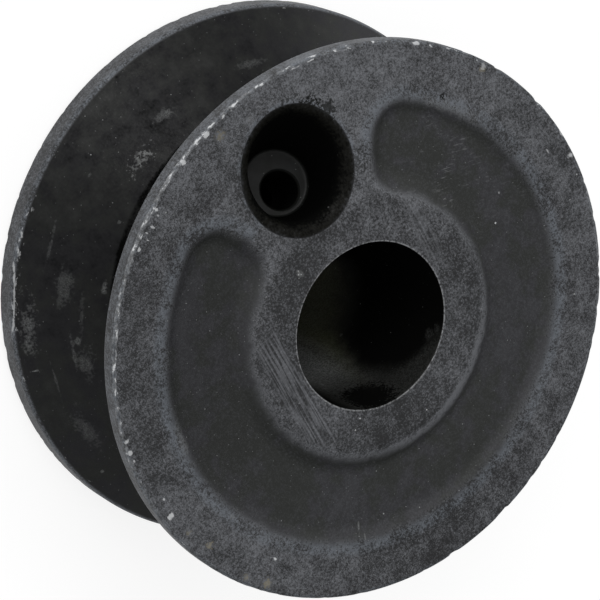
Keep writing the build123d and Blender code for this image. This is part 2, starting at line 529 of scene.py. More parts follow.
def grease_pocket(surface, sizes, columns):
    """The slanted pocket with its mouth, floor, tapped hole and grease passage.

    Returns the numbers of the points of its mouth's edge and of its edge in the bore.
    """
    floor_centre, along, axis = pocket_frame(sizes)
    draft = sizes.pocket_side_angle
    turns = np.arange(columns) * 2 * math.pi / columns
    outwards = np.cos(turns)[:, None] * along + np.sin(turns)[:, None] * np.array([0, 1, 0])

    def ring(radius, height, shift=0.0):
        """A ring about the pocket's axis, or about one beside it, above the floor."""
        radius, height = (np.broadcast_to(v, columns)[:, None] for v in (radius, height))
        return floor_centre + height * axis + radius * outwards - shift * along

    # The mouth is the path of a ball that touches both the wall and the front face
    ball = sizes.pocket_mouth_round
    into_wall = math.cos(draft) * outwards - math.sin(draft) * axis
    height = np.full(columns, sizes.pocket_depth)
    for _ in range(12):
        centre = ring(sizes.pocket_floor_radius + height * math.tan(draft), height)
        centre = centre + ball * into_wall
        short = front_height(sizes, centre[:, :2]) - ball - centre[:, 2]
        climb = axis[2] + outwards[:, 2] * math.tan(draft)
        height = height + short / climb
    upwards = np.array([0.0, 0.0, 1.0])
    turn = np.arccos(np.clip(-into_wall @ upwards, -1, 1))[:, None]
    rows = []
    for share in np.linspace(0, 1, 11):
        mix = np.sin((1 - share) * turn) * upwards - np.sin(share * turn) * into_wall
        rows.append(centre + ball * mix / np.sin(turn))
    rows[0][:, 2] = front_height(sizes, rows[0][:, :2])

    foot = round_corner(
        (sizes.pocket_floor_radius + math.tan(draft), 1),
        (sizes.pocket_floor_radius, 0),
        (0, 0),
        sizes.pocket_floor_round,
        4,
    )
    for share in np.linspace(0, 1, 12)[1:-1]:
        level = height + (foot[0][1] - height) * share
        rows.append(ring(sizes.pocket_floor_radius + level * math.tan(draft), level))
    rows.extend(ring(radius, level) for radius, level in foot)

    # The tapped hole stands off the pocket's axis, towards the hub
    hole = np.array(nipple_hole["pos_m"]) + axis * hole_dims["length_mm"] / 2000
    offset = float((floor_centre - hole) @ along)
    radius = sizes.nipple_hole_radius
    lead_in, fade = 0.0004, 0.0008
    for share in (0.25, 0.5, 0.75, 1.0):
        edge = foot[-1][0] + (radius + lead_in - foot[-1][0]) * share
        rows.append(ring(edge, 0.0, offset * share))
    for depth in np.arange(lead_in, sizes.nipple_hole_depth, sizes.thread_pitch / 6):
        phase = depth / sizes.thread_pitch - turns / (2 * math.pi)
        crest = 2 * np.abs(phase % 1 - 0.5)
        ends = min(1, (depth - lead_in) / fade, (sizes.nipple_hole_depth - depth) / fade)
        rows.append(ring(radius + sizes.thread_depth * crest * ends, -depth, offset))
    rows.append(ring(radius, -sizes.nipple_hole_depth, offset))
    start = ring(sizes.passage_radius, -sizes.nipple_hole_depth, offset)
    rows.append(start)
    reach = np.sqrt(sizes.bore_radius**2 - start[:, 1] ** 2)
    run = (start[:, 0] - reach) / axis[0]
    rows.extend(start - axis * (run * share)[:, None] for share in (0.25, 0.5, 0.75, 1.0))
    rows = np.array(rows)
    way_in = path_lengths(rows)
    open_length = 0.005
    numbers = surface.add(rows, 3 * way_in, np.clip(way_in / open_length, 0, 1))
    surface.bridge(numbers)
    return numbers[0], numbers[-1]


def pocket_frame(sizes):
    """The middle of the pocket's floor, the way outwards along it and the pocket's axis."""
    tilt = Vector(nipple_hole["axis"]).angle(Vector((0, 0, 1)))
    axis = np.array([math.sin(tilt), 0, math.cos(tilt)])
    place = (sizes.bore_radius + sizes.flange_radius) / 2
    mouth = np.array([place, 0, sizes.front_hub_z - sizes.hub_face_height])
    return mouth - axis * sizes.pocket_depth, np.array([axis[2], 0, -axis[0]]), axis


def bore_patch(surface, sizes, rings, profile, passage):
    """Open the bore's wall round the grease passage and fill up to its edge."""
    edge = surface.points[passage]
    wall = np.flatnonzero(np.isclose(profile[:, 0], sizes.bore_radius))
    heights = profile[wall, 1]
    margin = 0.0005
    low = wall[heights < edge[:, 2].min() - margin][-1]
    high = wall[heights > edge[:, 2].max() + margin][0]
    columns = rings.shape[1]
    half_turn = math.asin(edge[:, 1].max() / sizes.bore_radius)
    reach = math.ceil(half_turn / (2 * math.pi) * columns) + 4
    across = np.arange(-reach, reach + 1)
    surface.bridge(rings[: low + 1])
    surface.bridge(rings[high:])
    beside = np.roll(rings[low : high + 1], -reach, axis=1)[:, : columns - 2 * reach + 1]
    surface.bridge(beside, closed=False)

    def unrolled(points):
        x, y, z = points.T
        return np.column_stack([sizes.bore_radius * np.arctan2(y, x), z])

    def rolled(flat):
        turn = flat[:, 0] / sizes.bore_radius
        x, y = sizes.bore_radius * np.cos(turn), sizes.bore_radius * np.sin(turn)
        return np.column_stack([x, y, flat[:, 1]])

    border = np.concatenate(
        [
            rings[low, across],
            rings[low + 1 : high, reach],
            rings[high, across[::-1]],
            rings[low + 1 : high, -reach][::-1],
        ]
    )
    loops = [(border, unrolled(surface.points[border])), (passage, unrolled(edge))]
    surface.fill(loops, BORE_PATCH_SPACING, rolled)


def casting_surface(sizes):
    """The whole casting as one closed surface."""
    surface = Surface()
    rings, profile = turned_faces(surface, sizes, TURNED_COLUMNS)
    recess = front_recess(surface, sizes, RECESS_EDGE_SPACING)
    mouth, passage = grease_pocket(surface, sizes, POCKET_COLUMNS)
    loops = [(ring, surface.points[ring][:, :2]) for ring in (rings[0], rings[-1], recess, mouth)]

    def exposure(flat):
        return -np.minimum(clearance(flat, loops[2][1]), 3 * clearance(flat, loops[3][1]))

    surface.fill(loops, FRONT_SPACING, lambda flat: on_front(sizes, flat), exposure)
    bore_patch(surface, sizes, rings, profile, passage)
    return surface


# ---- casting marks

# Each mark is (turn, radius, height, reach, strength): its place in degrees about the bore
# and millimetres, its half size in millimetres and how clear it is.  An oval one has two
# reaches, outwards and round the bore.
SCUFFS = (
    (20, 37.6, 12.5, 1.7, 3.2, 1.0),
    (8, 40.2, 11.5, 0.9, 2.2, 0.35),
    (67, 47.2, 6.9, 1.6, 5.0, 0.5),
    (48, 45.2, 9.0, 0.22, 3.6, 0.25),
    (71, 40.5, 12.0, 0.6, 0.45),
    (74, 41.4, 11.5, 0.3, 3.4, 0.3),
    (64, 39.6, 12.5, 0.4, 3.6, 0.2),
    (80, 45.0, 9.0, 0.15, 4.6, 0.2),
    (95, 44.0, 9.6, 1.6, 4.6, 0.25),
    (57, 42.5, 10.9, 1.8, 3.6, 0.25),
    (77.8, 39.9, 12.4, 1.8, 3.0, 0.3),
    (77, 47.7, 7.2, 0.7, 0.18, 0.8),
    (107, 46.5, 8.0, 0.3, 0.7),
    (56, 36.5, 14.6, 0.35, 1.2, 0.45),
    (37.5, 36.7, 14.5, 0.3, 0.5),
    (30, 43.5, 10.2, 0.15, 0.5, 0.3),
    (-20, 41.0, 11.6, 0.6, 2.4, 0.25),
    (-50, 39.9, 43.8, 0.9, 6.0, 0.12),
    (85, 39.9, 43.8, 0.8, 4.5, 0.12),
    (152, 37.3, 43.1, 1.1, 0.2, 0.4),
    (153.5, 39.4, 43.5, 0.9, 0.2, 0.4),
    (25.2, 18.6, 45, 0.7, 0.5, 0.35),
    (150, 15.0, 31.5, 0.4, 0.3),
    (153, 15.0, 29.0, 0.4, 0.5, 0.3),
    (111.6, 40.8, 44, 0.5, 0.7, 0.3),
    (-160, 15.0, 17.8, 0.4, 0.4),
    (-134, 15.0, 41.5, 1.2, 0.25),
    (-128, 15.0, 43.5, 1.0, 0.2),
    (5, 45.8, 44, 0.7, 1.1, 0.35),
)
CHIPS = (
    (-37, 49.5, 44, 0.3, 0.7, 0.8),
    (-54.5, 49.0, 44, 0.49, 0.4),
    (-80.3, 49.8, 44, 0.3, 0.7, 0.6),
    (-85.8, 49.3, 44, 0.52, 0.7),
    (-90.4, 48.7, 44, 0.26, 0.5),
    (-80.9, 45.7, 44, 0.15, 0.35, 0.45),
    (-94.8, 45.8, 44, 0.19, 0.5),
    (79, 49.2, 44, 0.39, 0.7),
    (81.5, 49.3, 44, 0.35, 0.7),
    (83.5, 49.1, 44, 0.24, 0.6),
    (94.8, 47.4, 44, 0.18, 0.7),
    (98.9, 48.2, 44, 0.55, 0.8),
    (128.3, 43.9, 44, 0.35, 0.9),
    (14, 49.4, 44, 0.53, 0.8),
    (21, 49.4, 44, 0.57, 0.8),
    (25, 18.2, 45, 0.14, 0.8),
    (26.1, 18.7, 45, 0.14, 0.7),
    (24.6, 19.1, 45, 0.12, 0.7),
    (27.4, 18.2, 45, 0.12, 0.6),
    (31.4, 49.0, 44, 0.55, 0.22, 0.8),
    (32.3, 48.2, 44, 0.3, 0.14, 0.6),
    (34.8, 48.1, 44, 0.5, 0.16, 0.6),
    (36.3, 48.8, 44, 0.3, 0.12, 0.5),
    (37.5, 47.9, 44, 0.4, 0.14, 0.6),
    (39.8, 48.8, 44, 0.3, 0.7),
    (61, 49.5, 5.8, 0.14, 7, 0.6),
    (42, 22.7, 45, 0.15, 0.7),
    (146, 16.6, 45, 0.15, 0.8),
    (144, 18.7, 45, 0.15, 0.7),
    (-172, 20.8, 45, 0.15, 0.7),
    (-88.3, 30.7, 43, 0.2, 0.9),
    (-99.4, 39.6, 43.6, 0.16, 0.7),
    (-80.7, 34.1, 43, 0.16, 0.3),
)
RUST_SPOTS = (
    (12, 47.2, 44, 0.9, 0.4),
    (105, 47.7, 44, 0.55, 0.35),
    (111, 47.0, 44, 0.6, 0.6),
    (123.4, 48.6, 44, 0.65, 0.45),
    (128.8, 48.4, 44, 0.85, 0.6),
    (-54.5, 48.3, 44, 0.49, 0.4),
)
# Places where the paint has stayed dark on the rubbed front
DARK_SPOTS = (
    (-47.3, 41.5, 44, 0.6, 0.9),
    (-8, 42.2, 44, 1.3, 3.2, 0.9),
    (-14, 40.3, 44, 1.5, 0.6),
    (-19.7, 29.5, 44, 2.16, 0.3),
    (-5.5, 44.8, 44, 0.5, 2.2, 0.35),
)
# Dents and nicks of the surface itself: place, reaches outwards and round the bore, and depth
# along the normal, where a negative one is a lump
DENTS = (
    (-47.3, 41.5, 44, 0.6, 0.6, 0.4),
    (-49.8, 50.0, 43.6, 0.6, 0.7, 0.25),
    (-58.0, 50.0, 43.5, 0.6, 0.6, 0.22),
    (-70.5, 50.0, 43.6, 0.6, 0.8, 0.22),
    (14, 50.0, 43.9, 0.5, 0.6, 0.15),
    (21, 50.0, 43.9, 0.5, 0.6, 0.15),
    (98.6, 49.9, 43.9, 0.5, 0.6, 0.15),
    (62, 50.0, 2.2, 0.6, 0.9, -0.3),
)
# How far along the bore's axis an oval mark and a dent reach, in millimetres
MARK_REACH_UP = 1.2
DENT_REACH_UP = 0.7
# Depths in metres of the cast skin's waves and ripples, and of the bites in the rims' edges
WAVE_DEPTH = 0.00003
RIPPLE_DEPTH = 0.000012
BITE_DEPTH = 0.0005


def mark_place(turn, radius, height):
    """A mark's middle in millimetres."""
    turn = math.radians(turn)
    return radius * math.cos(turn), radius * math.sin(turn), height


def noise_at(points, scale):
    """Soft noise round 0 at each point, finer with a larger scale."""
    return np.array([noise.noise(Vector(point) * scale) for point in points])


def relief(sizes, points, normals):
    """The points sunk into an uneven cast skin, with bitten rim edges and dents."""
    radius = np.linalg.norm(points[:, :2], axis=1)
    waves, ripples = noise_at(points, 120), noise_at(points, 420)
    # The bore and the hub faces are machined, and the flanges' edges are worn smoother
    cast = np.clip((radius - sizes.bore_radius - 0.001) / 0.002, 0, 1)
    cast *= np.clip((sizes.flange_radius - radius) / 0.002, 0.25, 1)
    faced = (points[:, 2] < 1e-5) | (points[:, 2] > sizes.front_hub_z - 1e-5)
    cast[faced] = 0
    sink = cast * (WAVE_DEPTH * (1 + waves) + RIPPLE_DEPTH * ripples)
    on_edge = np.clip((radius - sizes.flange_radius) / 0.0006 + 1.4, 0, 1)
    for rim_z in (sizes.hub_face_height, sizes.front_hub_z - sizes.hub_face_height):
        near = on_edge * np.clip(1.3 - np.abs(points[:, 2] - rim_z) / 0.0007, 0, 1)
        edge = np.flatnonzero(near)
        bites = np.clip(noise_at(points[edge], 700) - 0.15, 0, 1)
        sink[edge] += BITE_DEPTH * near[edge] * bites
    for turn, reach, height, outwards, around, depth in DENTS:
        away = points * 1000 - mark_place(turn, reach, height)
        turn = math.radians(turn)
        across = away[:, 0] * math.cos(turn) + away[:, 1] * math.sin(turn)
        along = away[:, 1] * math.cos(turn) - away[:, 0] * math.sin(turn)
        up = away[:, 2] / DENT_REACH_UP
        share = np.sqrt((across / outwards) ** 2 + (along / around) ** 2 + up**2)
        sink += depth / 1000 * np.clip(1.5 - share, 0, 1) ** 2
    return points - normals * sink[:, None]


def build_casting(sizes):
    """The casting as a Blender mesh in metres."""
    surface = casting_surface(sizes)
    mesh = bpy.data.meshes.new("sheave_casting")
    mesh.from_pydata(surface.points.tolist(), [], surface.faces)
    mesh.validate()
    work = bmesh.new()
    work.from_mesh(mesh)
    bmesh.ops.recalc_face_normals(work, faces=work.faces)
    work.to_mesh(mesh)
    work.free()
    points = np.empty((len(mesh.vertices), 3), np.float32)
    normals = np.empty_like(points)
    mesh.vertices.foreach_get("co", points.ravel())
    mesh.vertex_normals.foreach_get("vector", normals.ravel())
    for name, values in (("shelter", surface.shelter), ("depth", surface.depth)):
        layer = mesh.attributes.new(name, "FLOAT", "POINT")
        layer.data.foreach_set("value", values.astype(np.float32))
    moved = relief(sizes, points, normals)
    mesh.vertices.foreach_set("co", moved.astype(np.float32).ravel())
    mesh.shade_smooth()
    mesh.set_sharp_from_angle(angle=math.radians(38))
    mesh.update()
    return mesh


# ---- shader maths


class Field:
    """A shader value that varies over the surface; sums on it become Math nodes."""

    def __init__(self, nodes, socket):
        self.nodes = nodes
        self.socket = socket

    def __add__(self, other):
        return self.nodes.maths("ADD", self, other)

    def __sub__(self, other):
        return self.nodes.maths("SUBTRACT", self, other)

    def __rsub__(self, other):
        return self.nodes.maths("SUBTRACT", other, self)

    def __mul__(self, other):
        return self.nodes.maths("MULTIPLY", self, other)

    def __truediv__(self, other):
        return self.nodes.maths("DIVIDE", self, other)

    def __pow__(self, other):
        return self.nodes.maths("POWER", self, other)

    __radd__ = __add__
    __rmul__ = __mul__


class Nodes:
    """Adds nodes to the tree of one material or world."""

    def __init__(self, owner):
        owner.use_nodes = True
        self.tree = owner.node_tree
        self.tree.nodes.clear()

    def add(self, kind, settings, sockets, output=0):
        """Add a node with its settings, then its sockets' values or links; returns an output."""
        node = self.tree.nodes.new(kind)
        for name, value in settings.items():
            setattr(node, name, value)
        for name, value in sockets.items():
            if isinstance(value, Field):
                self.tree.links.new(value.socket, node.inputs[name])
            else:
                node.inputs[name].default_value = value
        return Field(self, node.outputs[output]) if node.outputs else None

    def maths(self, operation, *values):
        return self.add("ShaderNodeMath", {"operation": operation}, dict(enumerate(values)))

    def vector(self, operation, *values, output=0):
        settings = {"operation": operation}
        return self.add("ShaderNodeVectorMath", settings, dict(enumerate(values)), output)

    def part(self, vector, axis):
        """One of a vector's X, Y and Z."""
        return self.add("ShaderNodeSeparateXYZ", {}, {"Vector": vector}, axis)

    def ease(self, value, start, end):
        """Rises softly from 0 at the start to 1 at the end, which may be the lower of the two."""
        sockets = {"Value": value, "From Min": start, "From Max": end}
        return self.add("ShaderNodeMapRange", {"interpolation_type": "SMOOTHSTEP"}, sockets)

    def between(self, value, start, full, last, end):
        """Rises softly from the start until it is full, and falls from the last to the end."""
        return self.ease(value, start, full) * self.ease(value, end, last)

    def most(self, *values):
        """The largest of several values."""
        result = values[0]
        for value in values[1:]:
            result = self.maths("MAXIMUM", result, value)
        return result

    def noise(self, place, size, detail=2.0, rough=0.5):
        """Soft noise round 0.5, whose blots are about as wide as the size."""
        sockets = {"Vector": place, "Scale": 0.5 / size, "Detail": detail, "Roughness": rough}
        return self.add("ShaderNodeTexNoise", {}, sockets)

    def blend(self, share, under, over):
        """One colour over another by a share."""
        under, over = ((*c, 1.0) if not isinstance(c, Field) else c for c in (under, over))
        settings = {"data_type": "RGBA", "clamp_factor": True}
        return self.add("ShaderNodeMix", settings, {0: share, 6: under, 7: over}, 2)


class CastingPaint(Nodes):
    """Black paint, smooth where it is sheltered, rubbed to a grey grain on faces and rims, with
    painted shade, highlights and reflections.

    Its places and sizes are in millimetres.  Shares and noises run from 0 to 1.
    """

    def __init__(self, material, finish, sizes):
        super().__init__(material)
        self.finish = finish
        self.sizes = sizes
        self.rim = sizes.flange_radius * 1000
        self.hub = sizes.hub_face_radius * 1000
        self.bore = sizes.bore_radius * 1000
        self.root = sizes.groove_root_radius * 1000
        self.hub_z = sizes.front_hub_z * 1000
        self.rim_z = (sizes.front_hub_z - sizes.hub_face_height) * 1000
        self.rear_z = (sizes.hub_face_height + sizes.rear_rim_thickness) * 1000

        metres = self.add("ShaderNodeTexCoord", {}, {}, "Object")
        sockets = {"Vector": metres, "Scale": 1000.0}
        self.place = self.add("ShaderNodeVectorMath", {"operation": "SCALE"}, sockets)
        self.x, self.y, self.z = (self.part(self.place, axis) for axis in "XYZ")
        self.radius = (self.x * self.x + self.y * self.y) ** 0.5
        self.turn = self.maths("ARCTAN2", self.y, self.x)
        self.shelter = self.attribute("shelter") * 1000
        self.depth = self.attribute("depth")
        fine = self.noise(self.place, 0.12, 2, 0.6)
        mottle = self.noise(self.place, 0.24, 3, 0.6)
        cloud = self.noise(self.place, 1.5, 5, 0.62)
        patches = self.noise(self.place, 6, 3, 0.55)
        self.grains = fine, mottle, cloud, patches
        self.outside_bore = self.ease(self.radius, self.bore + 0.02, self.bore + 0.12)

    def attribute(self, name):
        """A number that each point of the mesh carries."""
        return self.add("ShaderNodeAttribute", {"attribute_name": name}, {}, "Fac")

    def towards(self, degrees, sharpness):
        """1 on one side of the bore's axis, falling to 0 on the others."""
        away = self.maths("COSINE", self.turn - math.radians(degrees))
        return self.maths("MAXIMUM", away, 0.0) ** sharpness

    def ragged(self, finely, broadly):
        """Unevenness round 0 that breaks up an edge, finely and broadly."""
        _, mottle, cloud, _ = self.grains
        return (mottle - 0.5) * finely + (cloud - 0.5) * broadly

    def seen_from(self, degrees, reach, centre=(0, 0, 0)):
        """The place from a centre, turned about the bore's axis and in units of the reach."""
        rotation = (0, 0, math.radians(degrees))
        sockets = {"Vector": self.place, "Location": centre, "Rotation": rotation, "Scale": reach}
        return self.add("ShaderNodeMapping", {"vector_type": "TEXTURE"}, sockets)

    def marks(self, table, ragged):
        """The strongest of a table's marks at each place, with ragged edges."""
        strongest = 0.0
        for turn, radius, height, *reach, strength in table:
            centre = mark_place(turn, radius, height)
            if len(reach) == 1:
                away = self.vector("DISTANCE", self.place, centre, output="Value") / reach[0]
            else:
                local = self.seen_from(turn, (*reach, MARK_REACH_UP), centre)
                away = self.vector("LENGTH", local, output="Value")
            share = self.ease(away + ragged, 1.15, 0.6) * strength
            strongest = self.maths("MAXIMUM", strongest, share)
        return strongest

    def specks(self, spacing, width, share):
        """Small round specks on a loose grid, at a share of its points."""
        scale = 1.0 / spacing
        near, chance = (
            self.add("ShaderNodeTexVoronoi", {}, {"Vector": self.place, "Scale": scale}, output)
            for output in ("Distance", "Color")
        )
        chance = self.part(chance, "X")
        size = width * scale
        return self.ease(near, size, size * 0.5) * self.ease(chance, 1 - share, 1 - share + 0.01)

    def rubbed_paint(self):
        """The paint's colour, with painted light and shade by side and painted highlights along the
        recess's edges, and where it is rubbed to its grain.
        """
        finish, ease, blend, towards = self.finish, self.ease, self.blend, self.towards
        fine, mottle, cloud, patches = self.grains
        radius, shelter, hub = self.radius, self.shelter, self.hub

        # On the hub's side of the recess the rubbing reaches further down
        hub_side = ease(radius, 31, 29)
        reach = 1.0 + hub_side * (1.0 + towards(-150, 1) * 1.3)
        rubbed = ease(shelter + self.ragged(3.5, 4.5) - reach, 1.3, -0.8) * self.outside_bore

        # Painted light: the grain is lighter or darker on each side as the light falls, and a little
        # darker on the hub face
        painted_side_light = towards(-50, 4) * 0.04 + towards(115, 4) * 0.03 - towards(58, 2) * 0.05
        painted_side_light = painted_side_light - ease(radius, hub + 1, hub - 1) * 0.04
        painted_side_light = painted_side_light - towards(175, 10) * 0.08 - towards(-86, 12) * 0.04
        grain = mottle * 0.6 + fine * 0.4 + (cloud - 0.5) * 0.34 + (patches - 0.5) * 0.2 + painted_side_light
        grain = ease(grain, 0.31, 0.76)
        # A pale crest along the hub's side of the recess: partly worn paint, partly a painted
        # highlight
        crest = ease(self.maths("ABSOLUTE", radius - hub - 1.6), 1.9, 0.7) * ease(shelter, 0, 0.7)
        crest = crest * (0.2 + towards(-164, 4) * 0.75)
        crest = crest * ease(cloud * 0.6 + mottle * 0.4, 0.25, 0.55)
        grain = self.maths("MINIMUM", grain + crest, 1.0)
        grey = blend(grain, finish.grain_dark, finish.grain_light)
        # Painted highlight: a cooler pale band along the recess's outer edge
        edge = self.between(shelter, -2.4, -0.6, 0.2, 1.6) * (1 - hub_side)
        edge = edge * ease(cloud * 0.5 + mottle * 0.5, 0.4, 0.62)
        grey = blend(edge * 0.4, grey, finish.edge_highlight_blue)

        lighter = ease(patches * 0.4 + cloud * 0.3 + mottle * 0.3, 0.42, 0.66)
        cool = ease(patches + (cloud - 0.5) * 0.6, 0.42, 0.6)
        smooth = blend(cool, finish.paint, finish.paint_cool)
        lighter = lighter * 0.1 + ease(mottle * 0.5 + fine * 0.5, 0.46, 0.64) * 0.1
        smooth = blend(lighter, smooth, finish.grain_light)
        return blend(rubbed, smooth, grey), rubbed

    def groove(self):
        """Where the skin lies in the rope groove, and its painted shade, which changes round the
        groove as the light falls and turns black down in the rope seat.
        """
        ease, radius = self.ease, self.radius
        in_groove = self.between(
            self.z, self.rear_z - 1.6, self.rear_z - 1.1, self.rim_z - 1.5, self.rim_z - 1
        )
        in_groove = in_groove * ease(radius, self.rim - 0.25, self.rim - 0.7)
        in_groove = in_groove * ease(radius, self.bore + 2, self.bore + 4)
        in_groove = in_groove * ease(self.depth, 0.02, 0)
        # Painted shade: lighter on the sides the light reaches, fuller elsewhere
        shade = 0.68 - self.towards(-58, 12) * 0.6 - self.towards(120, 3) * 0.4
        shade = self.most(shade, ease(radius, self.root + 1.2, self.root - 0.2))
        blots = self.ragged(0.5, 0.6) + (self.grains[-1] - 0.5) * 0.4
        return in_groove, in_groove * (shade + blots)

    def bore_wall(self, skin):
        """Painted shade: black but for old grease near its back, and a painted reflection: a pale
        band that climbs round it.
        """
        finish, ease, blend = self.finish, self.ease, self.blend
        fine, mottle, cloud, patches = self.grains
        in_bore = ease(self.radius, self.bore + 0.12, self.bore + 0.04)
        speckle = ease(mottle * 0.5 + fine * 0.5, 0.38, 0.62)
        side = self.maths("ARCTAN2", 0 - self.y, 0 - self.x) * (180 / math.pi)
        side = side + (cloud - 0.5) * 8
        smear = self.z + self.ragged(2.5, 4)
        blot = ((side + 17) ** 2 / 300 + (smear - 40.5) ** 2 / 42) ** 0.5
        blot = ease(blot + (mottle - 0.5) * 1.8, 1.2, 0.7)
        border = ease(smear, 30, 37) * 9 + ease(smear, 36, 45) * 38
        reflection_band = ease(side - border, 14, -8) * ease(side, -54, -28) * (1 - blot)
        reflection_band = reflection_band * (0.35 + ease(smear, 38, 22) * 0.65)
        grease_top = self.most(30 - side * 0.65, 18 - side * 0.08)
        greased = ease(smear - grease_top, 7, -9) * self.between(side, -14, 6, 60, 84)
        blotted = ease(patches, 0.56, 0.72) * 0.3 * self.towards(20, 1)
        painted_shade = in_bore * (0.985 - self.most(reflection_band, greased, blotted) * (0.55 + speckle * 0.4))
        wall = blend(greased, finish.oily_wall, finish.grease)
        # Painted reflection: the pale colour of the band
        pale = reflection_band * (0.1 + speckle * 0.3 + ease(smear, 32, 20) * 0.14)
        wall = blend(pale, wall, finish.dust)
        return blend(in_bore, skin, wall), painted_shade

    def pocket_wall(self, skin):
        """Painted shade: black from a little way in, less so and dusty on the floor."""
        finish, ease, blend, depth = self.finish, self.ease, self.blend, self.depth
        floor_centre, _, axis = pocket_frame(self.sizes)
        up = self.vector("DOT_PRODUCT", self.place, tuple(axis), output="Value")
        up = up - float(floor_centre @ axis) * 1000
        on_floor = self.between(up, -0.5, -0.1, 0.2, 0.8) * ease(depth, 0.5, 0.9)
        way_in = depth + self.ragged(1.5, 1.2)
        # Painted shade deepening with the way in
        painted_shade = ease(way_in, -0.6, 0.1) * 0.78 + ease(way_in, 0.0, 0.7) * 0.22
        painted_shade = painted_shade * (1 - on_floor * 0.39) * ease(depth, 0, 0.05)
        skin = blend(ease(way_in, -0.2, 0.2) * ease(depth, 0.01, 0.1), skin, finish.old_oil)
        dusty = ease(self.grains[2], 0.3, 0.7) * 0.12
        return blend(on_floor, skin, blend(dusty, finish.paint, finish.grain_light)), painted_shade, on_floor

    def scuffs(self, in_groove):
        """Pale scuffs, with faint brush marks on one side of the recess."""
        ease = self.ease
        fine, mottle, cloud, _ = self.grains
        scuffs = self.marks(SCUFFS, self.ragged(3.2, 3))
        scuffs = scuffs * (0.3 + ease(mottle * 0.6 + fine * 0.4, 0.40, 0.62) * 0.7)
        brushed = self.noise(self.seen_from(-110, (2.0, 0.4, 1.0)), 0.5, 3)
        brushed = ease(brushed, 0.56, 0.72) * ease(cloud, 0.45, 0.65) * self.towards(-62, 16)
        brushed = brushed * ease(self.shelter, 0.5, 2.5) * (1 - in_groove)
        return self.most(scuffs, brushed * 0.3)

    def dust(self, on_floor):
        """Specks of dust in three sizes, fewer down the pocket's wall."""
        dust = self.most(
            self.specks(3.4, 0.2, 0.2) * 0.8,
            self.specks(1.7, 0.13, 0.3) * 0.55,
            self.specks(0.8, 0.12, 0.3) * 0.28,
        )
        return dust * (1 - self.ease(self.depth, 0.05, 0.2) * (0.6 - on_floor * 1.2))

    def hub_lines(self, skin):
        """Fine lines drawn across the hub face on two sides of the bore."""
        ease, blend = self.ease, self.blend
        long, thin = 9.0, 0.4
        lines = self.seen_from(3.3, (long, thin, 1.0))
        along, across = self.part(lines, "X") * long, self.part(lines, "Y") * thin
        on_hub = ease(self.radius, self.hub + 0.6, self.hub - 0.8) * self.outside_bore
        on_hub = on_hub * ease(self.z, self.hub_z - 0.2, self.hub_z - 0.05)
        grain = ease(self.noise(lines, 0.5, 1), 0.42, 0.6)
        drawn = self.most(
            self.between(across, 15.0, 16.4, 19.8, 21.5) * self.between(along, -15, -11, 9, 14),
            self.between(across, -19, -17.5, -16, -14.8) * ease(along, 1, 4) * 0.6,
        )
        grey = blend(grain, self.finish.grain_dark, self.finish.grain_light)
        return blend(drawn * on_hub * 0.5, skin, grey)

    def bare_metal(self):
        """Bare metal along the rims and the bore's edge, and in chips, with a painted highlight in
        the thin line along the front rim's corner.
        """
        ease, towards, most = self.ease, self.towards, self.most
        _, mottle, cloud, _ = self.grains
        radius, z, rim, rim_z, rear_z = self.radius, self.z, self.rim, self.rim_z, self.rear_z
        sockets = {"X": radius * 3.2, "Y": self.turn * (rim * 1.2), "Z": z * 3.2}
        flakes = self.noise(self.add("ShaderNodeCombineXYZ", {}, sockets), 0.9, 4, 0.62)
        front_corner = ease(radius, rim - 0.9, rim - 0.6) * ease(z, rim_z - 0.4, rim_z - 0.2)
        rear_corner = ease(radius, rim - 1.3, rim - 0.7)
        rear_corner = rear_corner * self.between(
            z, rear_z - 0.3, rear_z + 0.2, rear_z + 0.7, rear_z + 1.3
        )
        front_wear = towards(30, 1.5) * 0.11 + towards(-60, 3) * 0.04 + (cloud - 0.5) * 0.3
        rear_wear = towards(61, 22) * 0.1 + towards(36, 3) * 0.03 + (cloud - 0.5) * 0.2
        bore_edge = ease(radius, self.bore + 0.4, self.bore + 0.2) * self.outside_bore
        chips = self.marks(CHIPS, (flakes - 0.5) * 4)
        # A thin pale line along the front rim's corner: partly worn metal, partly a painted highlight
        rub_and_highlight_line = ease(radius, rim - 0.75, rim - 0.5) * ease(z, rim_z - 0.5, rim_z - 0.3)
        rub_and_highlight_line = rub_and_highlight_line * most(towards(40, 1.5), towards(-110, 24))
        return most(
            front_corner * ease(flakes + front_wear, 0.67, 0.74),
            rear_corner * ease(flakes + rear_wear, 0.67, 0.76) * 0.6,
            rub_and_highlight_line * ease(flakes, 0.35, 0.65) * 0.3,
            bore_edge * ease(mottle, 0.3, 0.6) * 0.3,
            chips,
        )

    def layers(self):
        """Build the whole shader, from the paint up to the bare metal."""
        finish, blend, most = self.finish, self.blend, self.most
        fine, mottle, _, _ = self.grains
        skin, rubbed = self.rubbed_paint()
        dark_spots = self.marks(DARK_SPOTS, self.ragged(4, 1.5))
        skin = blend(dark_spots, skin, finish.paint)
        in_groove, groove_shade = self.groove()
        skin, bore_shade = self.bore_wall(skin)
        skin, pocket_shade, on_floor = self.pocket_wall(skin)
        scuffs = self.scuffs(in_groove)
        dust = self.dust(on_floor)
        skin = blend(most(scuffs, dust), self.hub_lines(skin), finish.dust)
        bare = self.bare_metal()
        skin = blend(self.marks(RUST_SPOTS, self.ragged(3.5, 2)), skin, finish.rust)
        skin = blend(bare, skin, finish.bare_metal)

        height = (mottle * 0.6 + fine * 0.4) * (rubbed * 0.75 + 0.25)
        relief = {"Strength": 0.4, "Distance": 0.0001, "Height": height}
        painted = {
            "Base Color": skin,
            "Roughness": 0.46 + rubbed * 0.14 + (fine - 0.5) * 0.3,
            "Specular IOR Level": finish.gloss,
            "Normal": self.add("ShaderNodeBump", {}, relief),
        }
